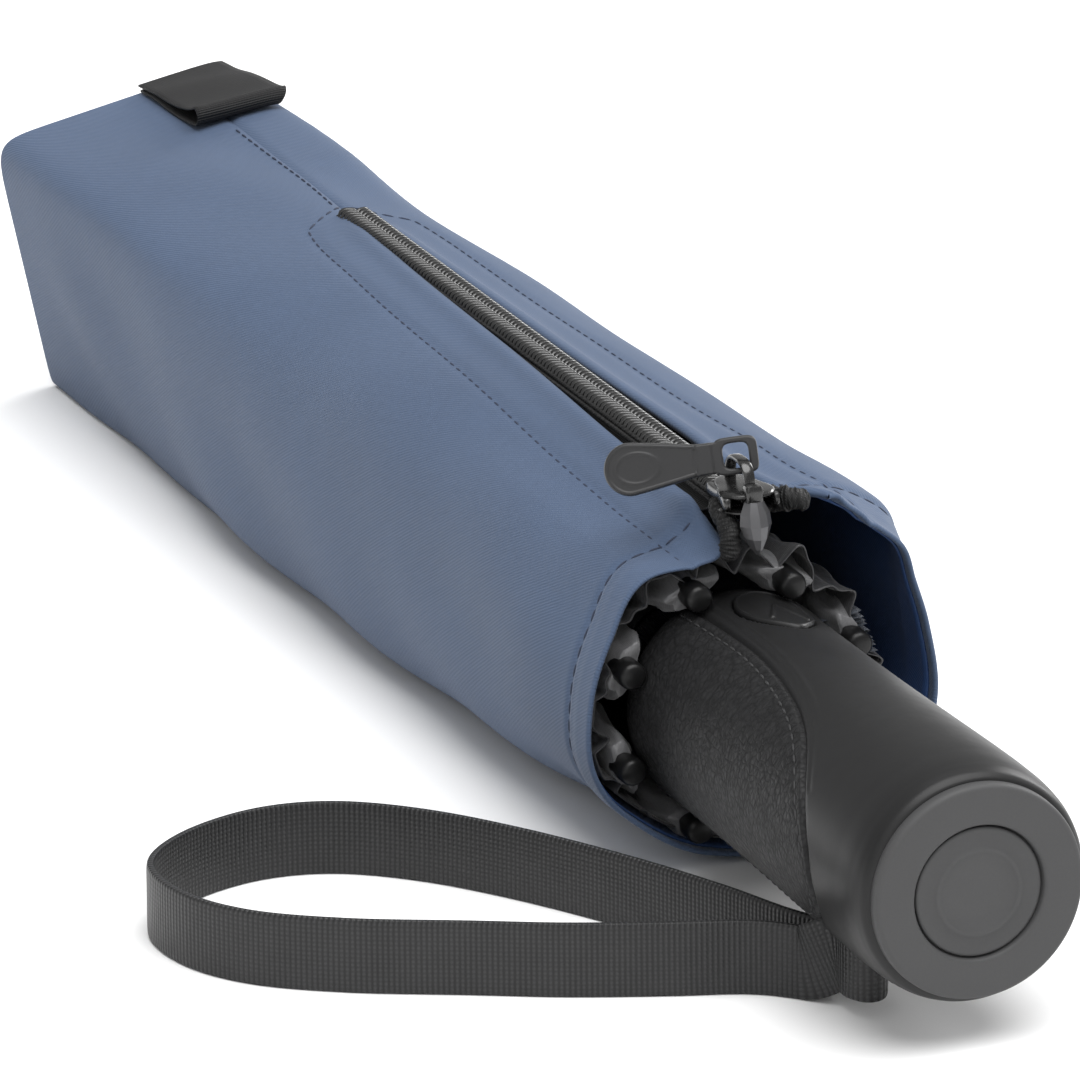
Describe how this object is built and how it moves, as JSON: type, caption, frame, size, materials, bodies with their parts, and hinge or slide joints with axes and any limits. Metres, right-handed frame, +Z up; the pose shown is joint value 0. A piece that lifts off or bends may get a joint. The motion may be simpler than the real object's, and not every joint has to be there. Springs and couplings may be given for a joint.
{
  "type": "folding umbrella in a zipped sleeve",
  "caption": "Folding umbrella with a charcoal handle and wrist strap, stowed in a slate-blue zipped sleeve, with a telescopic shaft, a folding frame and a canopy that opens.",
  "frame": {"origin": "centre of the bounding box's base, on the floor under the middle of the stowed umbrella; the wrist strap is left out of the box", "axes": "+X along the shaft towards the handle's end cap, +Z up"},
  "size_m": [0.37, 0.1331, 0.071],
  "materials": {
    "handle_soft_touch": "soft-touch matt charcoal",
    "grip_leather": "fine leather grain with a stitched edge",
    "cap_grey": "satin grey",
    "badge_grey": "satin grey with a raised plain ring",
    "button_soft": "soft-touch skin",
    "steel": "bright",
    "shaft_metal": "plated tube",
    "frame_plastic": "black",
    "strap_webbing": "ribbed webbing",
    "sleeve_cloth": "slate-blue twill",
    "label_cloth": "woven folded label, blank",
    "zip_tape_cloth": "woven tape",
    "zip_coil": "coil teeth",
    "slider_enamel": "black enamel",
    "puller_rubber": "moulded tab with a plain oval border",
    "canopy_cloth": "taffeta",
    "rib_metal": "anodised channel",
    "rib_glassfibre": "glass fibre with round tips"
  },
  "bodies": {
    "handle": {"handle_shell": "handle_soft_touch", "grip_panel": "grip_leather", "end_cap": "cap_grey", "cap_badge": "badge_grey", "strap_pin": "steel", "lower_tube": "shaft_metal"},
    "button": {"push_button": "button_soft"},
    "strap": {"wrist_strap": "strap_webbing"},
    "middle_tube": {"middle_tube": "shaft_metal"},
    "upper_tube": {"upper_tube": "shaft_metal", "crown": "frame_plastic", "top_cap": "frame_plastic", "canopy_folds": "canopy_cloth"},
    "runner": {"runner": "frame_plastic"},
    "sleeve": {"sleeve_shell": "sleeve_cloth", "sleeve_label": "label_cloth", "zip_tape": "zip_tape_cloth", "zip_chain": "zip_coil"},
    "zip_slider": {"zip_slider": "slider_enamel"},
    "zip_puller": {"zip_ring": "puller_rubber", "zip_puller": "puller_rubber"},
    "inner_rib_1": {"inner_rib_1": "rib_metal"},
    "middle_rib_1": {"middle_rib_1": "rib_metal"},
    "outer_rib_1": {"outer_rib_1": "rib_glassfibre"},
    "stretcher_1": {"stretcher_1": "rib_metal"},
    "inner_rib_2": {"inner_rib_2": "rib_metal"},
    "middle_rib_2": {"middle_rib_2": "rib_metal"},
    "outer_rib_2": {"outer_rib_2": "rib_glassfibre"},
    "stretcher_2": {"stretcher_2": "rib_metal"},
    "inner_rib_3": {"inner_rib_3": "rib_metal"},
    "middle_rib_3": {"middle_rib_3": "rib_metal"},
    "outer_rib_3": {"outer_rib_3": "rib_glassfibre"},
    "stretcher_3": {"stretcher_3": "rib_metal"},
    "inner_rib_4": {"inner_rib_4": "rib_metal"},
    "middle_rib_4": {"middle_rib_4": "rib_metal"},
    "outer_rib_4": {"outer_rib_4": "rib_glassfibre"},
    "stretcher_4": {"stretcher_4": "rib_metal"},
    "inner_rib_5": {"inner_rib_5": "rib_metal"},
    "middle_rib_5": {"middle_rib_5": "rib_metal"},
    "outer_rib_5": {"outer_rib_5": "rib_glassfibre"},
    "stretcher_5": {"stretcher_5": "rib_metal"},
    "inner_rib_6": {"inner_rib_6": "rib_metal"},
    "middle_rib_6": {"middle_rib_6": "rib_metal"},
    "outer_rib_6": {"outer_rib_6": "rib_glassfibre"},
    "stretcher_6": {"stretcher_6": "rib_metal"},
    "inner_rib_7": {"inner_rib_7": "rib_metal"},
    "middle_rib_7": {"middle_rib_7": "rib_metal"},
    "outer_rib_7": {"outer_rib_7": "rib_glassfibre"},
    "stretcher_7": {"stretcher_7": "rib_metal"},
    "inner_rib_8": {"inner_rib_8": "rib_metal"},
    "middle_rib_8": {"middle_rib_8": "rib_metal"},
    "outer_rib_8": {"outer_rib_8": "rib_glassfibre"},
    "stretcher_8": {"stretcher_8": "rib_metal"},
    "canopy_inner_left": {"canopy_inner_left": "canopy_cloth"},
    "canopy_inner_right": {"canopy_inner_right": "canopy_cloth"},
    "canopy_middle_left": {"canopy_middle_left": "canopy_cloth"},
    "canopy_middle_right": {"canopy_middle_right": "canopy_cloth"},
    "canopy_outer_left": {"canopy_outer_left": "canopy_cloth"},
    "canopy_outer_right": {"canopy_outer_right": "canopy_cloth"}
  },
  "joints": [
    {"name": "umbrella_open", "type": "slide", "parent": "handle", "child": "middle_tube", "axis": [-1, 0, 0], "range_m": [0, 0.17], "deforming": ["sleeve_shell", "sleeve_label", "zip_tape", "zip_chain", "canopy_folds", "canopy_inner_left", "canopy_inner_right", "canopy_middle_left", "canopy_middle_right", "canopy_outer_left", "canopy_outer_right"]},
    {"name": "upper_tube_slide", "type": "slide", "parent": "middle_tube", "child": "upper_tube", "axis": [-1, 0, 0], "range_m": [0, 0.1701]},
    {"name": "runner_slide", "type": "slide", "parent": "upper_tube", "child": "runner", "axis": [-1, 0, 0], "range_m": [0, 0.11985]},
    {"name": "sleeve_off", "type": "slide", "parent": "upper_tube", "child": "sleeve", "axis": [-1, 0, 0], "range_m": [0, 0.3001]},
    {"name": "inner_rib_1_fold", "type": "hinge", "parent": "upper_tube", "child": "inner_rib_1", "pos_m": [-0.165, 0.00574, 0.02983], "axis": [0, -0.3827, 0.9239], "range_deg": [0, 74.61]},
    {"name": "middle_rib_1_fold", "type": "hinge", "parent": "inner_rib_1", "child": "middle_rib_1", "pos_m": [0.03, 0.00712, 0.0304], "axis": [0, -0.3827, 0.9239], "range_deg": [-188.4, 0]},
    {"name": "outer_rib_1_fold", "type": "hinge", "parent": "middle_rib_1", "child": "outer_rib_1", "pos_m": [-0.16, 0.01082, 0.03193], "axis": [0, -0.3827, 0.9239], "range_deg": [0, 164.59]},
    {"name": "stretcher_1_fold", "type": "hinge", "parent": "runner", "child": "stretcher_1", "pos_m": [0.04, 0.00574, 0.02983], "axis": [0, -0.3827, 0.9239], "range_deg": [-56.2, 0]},
    {"name": "inner_rib_2_fold", "type": "hinge", "parent": "upper_tube", "child": "inner_rib_2", "pos_m": [-0.165, 0.00033, 0.03524], "axis": [0, -0.9239, 0.3827], "range_deg": [0, 74.61]},
    {"name": "middle_rib_2_fold", "type": "hinge", "parent": "inner_rib_2", "child": "middle_rib_2", "pos_m": [0.03, 0.0009, 0.03662], "axis": [0, -0.9239, 0.3827], "range_deg": [-188.4, 0]},
    {"name": "outer_rib_2_fold", "type": "hinge", "parent": "middle_rib_2", "child": "outer_rib_2", "pos_m": [-0.16, 0.00243, 0.04032], "axis": [0, -0.9239, 0.3827], "range_deg": [0, 164.59]},
    {"name": "stretcher_2_fold", "type": "hinge", "parent": "runner", "child": "stretcher_2", "pos_m": [0.04, 0.00033, 0.03524], "axis": [0, -0.9239, 0.3827], "range_deg": [-56.2, 0]},
    {"name": "inner_rib_3_fold", "type": "hinge", "parent": "upper_tube", "child": "inner_rib_3", "pos_m": [-0.165, -0.00733, 0.03524], "axis": [0, -0.9239, -0.3827], "range_deg": [0, 74.61]},
    {"name": "middle_rib_3_fold", "type": "hinge", "parent": "inner_rib_3", "child": "middle_rib_3", "pos_m": [0.03, -0.0079, 0.03662], "axis": [0, -0.9239, -0.3827], "range_deg": [-188.4, 0]},
    {"name": "outer_rib_3_fold", "type": "hinge", "parent": "middle_rib_3", "child": "outer_rib_3", "pos_m": [-0.16, -0.00943, 0.04032], "axis": [0, -0.9239, -0.3827], "range_deg": [0, 164.59]},
    {"name": "stretcher_3_fold", "type": "hinge", "parent": "runner", "child": "stretcher_3", "pos_m": [0.04, -0.00733, 0.03524], "axis": [0, -0.9239, -0.3827], "range_deg": [-56.2, 0]},
    {"name": "inner_rib_4_fold", "type": "hinge", "parent": "upper_tube", "child": "inner_rib_4", "pos_m": [-0.165, -0.01274, 0.02983], "axis": [0, -0.3827, -0.9239], "range_deg": [0, 74.61]},
    {"name": "middle_rib_4_fold", "type": "hinge", "parent": "inner_rib_4", "child": "middle_rib_4", "pos_m": [0.03, -0.01412, 0.0304], "axis": [0, -0.3827, -0.9239], "range_deg": [-188.4, 0]},
    {"name": "outer_rib_4_fold", "type": "hinge", "parent": "middle_rib_4", "child": "outer_rib_4", "pos_m": [-0.16, -0.01782, 0.03193], "axis": [0, -0.3827, -0.9239], "range_deg": [0, 164.59]},
    {"name": "stretcher_4_fold", "type": "hinge", "parent": "runner", "child": "stretcher_4", "pos_m": [0.04, -0.01274, 0.02983], "axis": [0, -0.3827, -0.9239], "range_deg": [-56.2, 0]},
    {"name": "inner_rib_5_fold", "type": "hinge", "parent": "upper_tube", "child": "inner_rib_5", "pos_m": [-0.165, -0.01274, 0.02217], "axis": [0, 0.3827, -0.9239], "range_deg": [0, 74.61]},
    {"name": "middle_rib_5_fold", "type": "hinge", "parent": "inner_rib_5", "child": "middle_rib_5", "pos_m": [0.03, -0.01412, 0.0216], "axis": [0, 0.3827, -0.9239], "range_deg": [-188.4, 0]},
    {"name": "outer_rib_5_fold", "type": "hinge", "parent": "middle_rib_5", "child": "outer_rib_5", "pos_m": [-0.16, -0.01782, 0.02007], "axis": [0, 0.3827, -0.9239], "range_deg": [0, 164.59]},
    {"name": "stretcher_5_fold", "type": "hinge", "parent": "runner", "child": "stretcher_5", "pos_m": [0.04, -0.01274, 0.02217], "axis": [0, 0.3827, -0.9239], "range_deg": [-56.2, 0]},
    {"name": "inner_rib_6_fold", "type": "hinge", "parent": "upper_tube", "child": "inner_rib_6", "pos_m": [-0.165, -0.00733, 0.01676], "axis": [0, 0.9239, -0.3827], "range_deg": [0, 74.61]},
    {"name": "middle_rib_6_fold", "type": "hinge", "parent": "inner_rib_6", "child": "middle_rib_6", "pos_m": [0.03, -0.0079, 0.01538], "axis": [0, 0.9239, -0.3827], "range_deg": [-188.4, 0]},
    {"name": "outer_rib_6_fold", "type": "hinge", "parent": "middle_rib_6", "child": "outer_rib_6", "pos_m": [-0.16, -0.00943, 0.01168], "axis": [0, 0.9239, -0.3827], "range_deg": [0, 164.59]},
    {"name": "stretcher_6_fold", "type": "hinge", "parent": "runner", "child": "stretcher_6", "pos_m": [0.04, -0.00733, 0.01676], "axis": [0, 0.9239, -0.3827], "range_deg": [-56.2, 0]},
    {"name": "inner_rib_7_fold", "type": "hinge", "parent": "upper_tube", "child": "inner_rib_7", "pos_m": [-0.165, 0.00033, 0.01676], "axis": [0, 0.9239, 0.3827], "range_deg": [0, 74.61]},
    {"name": "middle_rib_7_fold", "type": "hinge", "parent": "inner_rib_7", "child": "middle_rib_7", "pos_m": [0.03, 0.0009, 0.01538], "axis": [0, 0.9239, 0.3827], "range_deg": [-188.4, 0]},
    {"name": "outer_rib_7_fold", "type": "hinge", "parent": "middle_rib_7", "child": "outer_rib_7", "pos_m": [-0.16, 0.00243, 0.01168], "axis": [0, 0.9239, 0.3827], "range_deg": [0, 164.59]},
    {"name": "stretcher_7_fold", "type": "hinge", "parent": "runner", "child": "stretcher_7", "pos_m": [0.04, 0.00033, 0.01676], "axis": [0, 0.9239, 0.3827], "range_deg": [-56.2, 0]},
    {"name": "inner_rib_8_fold", "type": "hinge", "parent": "upper_tube", "child": "inner_rib_8", "pos_m": [-0.165, 0.00574, 0.02217], "axis": [0, 0.3827, 0.9239], "range_deg": [0, 74.61]},
    {"name": "middle_rib_8_fold", "type": "hinge", "parent": "inner_rib_8", "child": "middle_rib_8", "pos_m": [0.03, 0.00712, 0.0216], "axis": [0, 0.3827, 0.9239], "range_deg": [-188.4, 0]},
    {"name": "outer_rib_8_fold", "type": "hinge", "parent": "middle_rib_8", "child": "outer_rib_8", "pos_m": [-0.16, 0.01082, 0.02007], "axis": [0, 0.3827, 0.9239], "range_deg": [0, 164.59]},
    {"name": "stretcher_8_fold", "type": "hinge", "parent": "runner", "child": "stretcher_8", "pos_m": [0.04, 0.00574, 0.02217], "axis": [0, 0.3827, 0.9239], "range_deg": [-56.2, 0]},
    {"name": "canopy_inner_left_spread", "type": "hinge", "parent": "inner_rib_1", "child": "canopy_inner_left", "pos_m": [-0.17464, 0.00328, 0.02881], "axis": [0.2662, -0.8905, -0.3689], "range_deg": [0, 179.95]},
    {"name": "canopy_inner_right_spread", "type": "hinge", "parent": "inner_rib_1", "child": "canopy_inner_right", "pos_m": [-0.17464, 0.00328, 0.02881], "axis": [0.2662, -0.8905, -0.3689], "range_deg": [-179.95, 0]},
    {"name": "canopy_middle_left_spread", "type": "hinge", "parent": "middle_rib_1", "child": "canopy_middle_left", "pos_m": [0.2115, 0.08106, 0.06103], "axis": [-0.4034, 0.8454, 0.3502], "range_deg": [0, 179.95]},
    {"name": "canopy_middle_right_spread", "type": "hinge", "parent": "middle_rib_1", "child": "canopy_middle_right", "pos_m": [0.2115, 0.08106, 0.06103], "axis": [-0.4034, 0.8454, 0.3502], "range_deg": [-179.95, 0]},
    {"name": "canopy_outer_left_spread", "type": "hinge", "parent": "outer_rib_1", "child": "canopy_outer_left", "pos_m": [-0.44697, -0.20583, -0.05781], "axis": [0.6328, -0.7154, -0.2963], "range_deg": [0, 179.95]},
    {"name": "canopy_outer_right_spread", "type": "hinge", "parent": "outer_rib_1", "child": "canopy_outer_right", "pos_m": [-0.44697, -0.20583, -0.05781], "axis": [0.6328, -0.7154, -0.2963], "range_deg": [-179.95, 0]},
    {"name": "zip_slide", "type": "slide", "parent": "sleeve", "child": "zip_slider", "axis": [-0.9995, 0.0215, -0.0239], "range_m": [0, 0.16]},
    {"name": "puller_swing", "type": "hinge", "parent": "zip_slider", "child": "zip_puller", "pos_m": [0.0896, -0.00301, 0.06656], "axis": [-0.9995, 0.0215, -0.0239], "range_deg": [0, 110]},
    {"name": "button_press", "type": "slide", "parent": "handle", "child": "button", "axis": [0, -0.1564, -0.9877], "range_m": [0, 0.002], "stiffness_N_per_m": 400},
    {"name": "strap_swing", "type": "hinge", "parent": "handle", "child": "strap", "pos_m": [0.163, -0.013, 0.013], "axis": [0, 0, 1], "range_deg": [0, 70]}
  ],
  "couplings": [
    {"joint": "upper_tube_slide", "follows": "umbrella_open", "ratio": 1},
    {"joint": "runner_slide", "follows": "umbrella_open", "ratio": 0.70442},
    {"joint": "sleeve_off", "follows": "umbrella_open", "ratio": 1.7647},
    {"joint": "inner_rib_1_fold", "follows": "umbrella_open", "rad_per_m": 7.6547},
    {"joint": "middle_rib_1_fold", "follows": "umbrella_open", "rad_per_m": -19.338},
    {"joint": "outer_rib_1_fold", "follows": "umbrella_open", "rad_per_m": 16.893},
    {"joint": "stretcher_1_fold", "follows": "umbrella_open", "rad_per_m": -5.7651},
    {"joint": "inner_rib_2_fold", "follows": "umbrella_open", "rad_per_m": 7.6547},
    {"joint": "middle_rib_2_fold", "follows": "umbrella_open", "rad_per_m": -19.338},
    {"joint": "outer_rib_2_fold", "follows": "umbrella_open", "rad_per_m": 16.893},
    {"joint": "stretcher_2_fold", "follows": "umbrella_open", "rad_per_m": -5.7651},
    {"joint": "inner_rib_3_fold", "follows": "umbrella_open", "rad_per_m": 7.6547},
    {"joint": "middle_rib_3_fold", "follows": "umbrella_open", "rad_per_m": -19.338},
    {"joint": "outer_rib_3_fold", "follows": "umbrella_open", "rad_per_m": 16.893},
    {"joint": "stretcher_3_fold", "follows": "umbrella_open", "rad_per_m": -5.7651},
    {"joint": "inner_rib_4_fold", "follows": "umbrella_open", "rad_per_m": 7.6547},
    {"joint": "middle_rib_4_fold", "follows": "umbrella_open", "rad_per_m": -19.338},
    {"joint": "outer_rib_4_fold", "follows": "umbrella_open", "rad_per_m": 16.893},
    {"joint": "stretcher_4_fold", "follows": "umbrella_open", "rad_per_m": -5.7651},
    {"joint": "inner_rib_5_fold", "follows": "umbrella_open", "rad_per_m": 7.6547},
    {"joint": "middle_rib_5_fold", "follows": "umbrella_open", "rad_per_m": -19.338},
    {"joint": "outer_rib_5_fold", "follows": "umbrella_open", "rad_per_m": 16.893},
    {"joint": "stretcher_5_fold", "follows": "umbrella_open", "rad_per_m": -5.7651},
    {"joint": "inner_rib_6_fold", "follows": "umbrella_open", "rad_per_m": 7.6547},
    {"joint": "middle_rib_6_fold", "follows": "umbrella_open", "rad_per_m": -19.338},
    {"joint": "outer_rib_6_fold", "follows": "umbrella_open", "rad_per_m": 16.893},
    {"joint": "stretcher_6_fold", "follows": "umbrella_open", "rad_per_m": -5.7651},
    {"joint": "inner_rib_7_fold", "follows": "umbrella_open", "rad_per_m": 7.6547},
    {"joint": "middle_rib_7_fold", "follows": "umbrella_open", "rad_per_m": -19.338},
    {"joint": "outer_rib_7_fold", "follows": "umbrella_open", "rad_per_m": 16.893},
    {"joint": "stretcher_7_fold", "follows": "umbrella_open", "rad_per_m": -5.7651},
    {"joint": "inner_rib_8_fold", "follows": "umbrella_open", "rad_per_m": 7.6547},
    {"joint": "middle_rib_8_fold", "follows": "umbrella_open", "rad_per_m": -19.338},
    {"joint": "outer_rib_8_fold", "follows": "umbrella_open", "rad_per_m": 16.893},
    {"joint": "stretcher_8_fold", "follows": "umbrella_open", "rad_per_m": -5.7651},
    {"joint": "canopy_inner_left_spread", "follows": "umbrella_open", "rad_per_m": 18.47},
    {"joint": "canopy_inner_right_spread", "follows": "umbrella_open", "rad_per_m": -18.47},
    {"joint": "canopy_middle_left_spread", "follows": "umbrella_open", "rad_per_m": 18.47},
    {"joint": "canopy_middle_right_spread", "follows": "umbrella_open", "rad_per_m": -18.47},
    {"joint": "canopy_outer_left_spread", "follows": "umbrella_open", "rad_per_m": 18.47},
    {"joint": "canopy_outer_right_spread", "follows": "umbrella_open", "rad_per_m": -18.47}
  ]
}
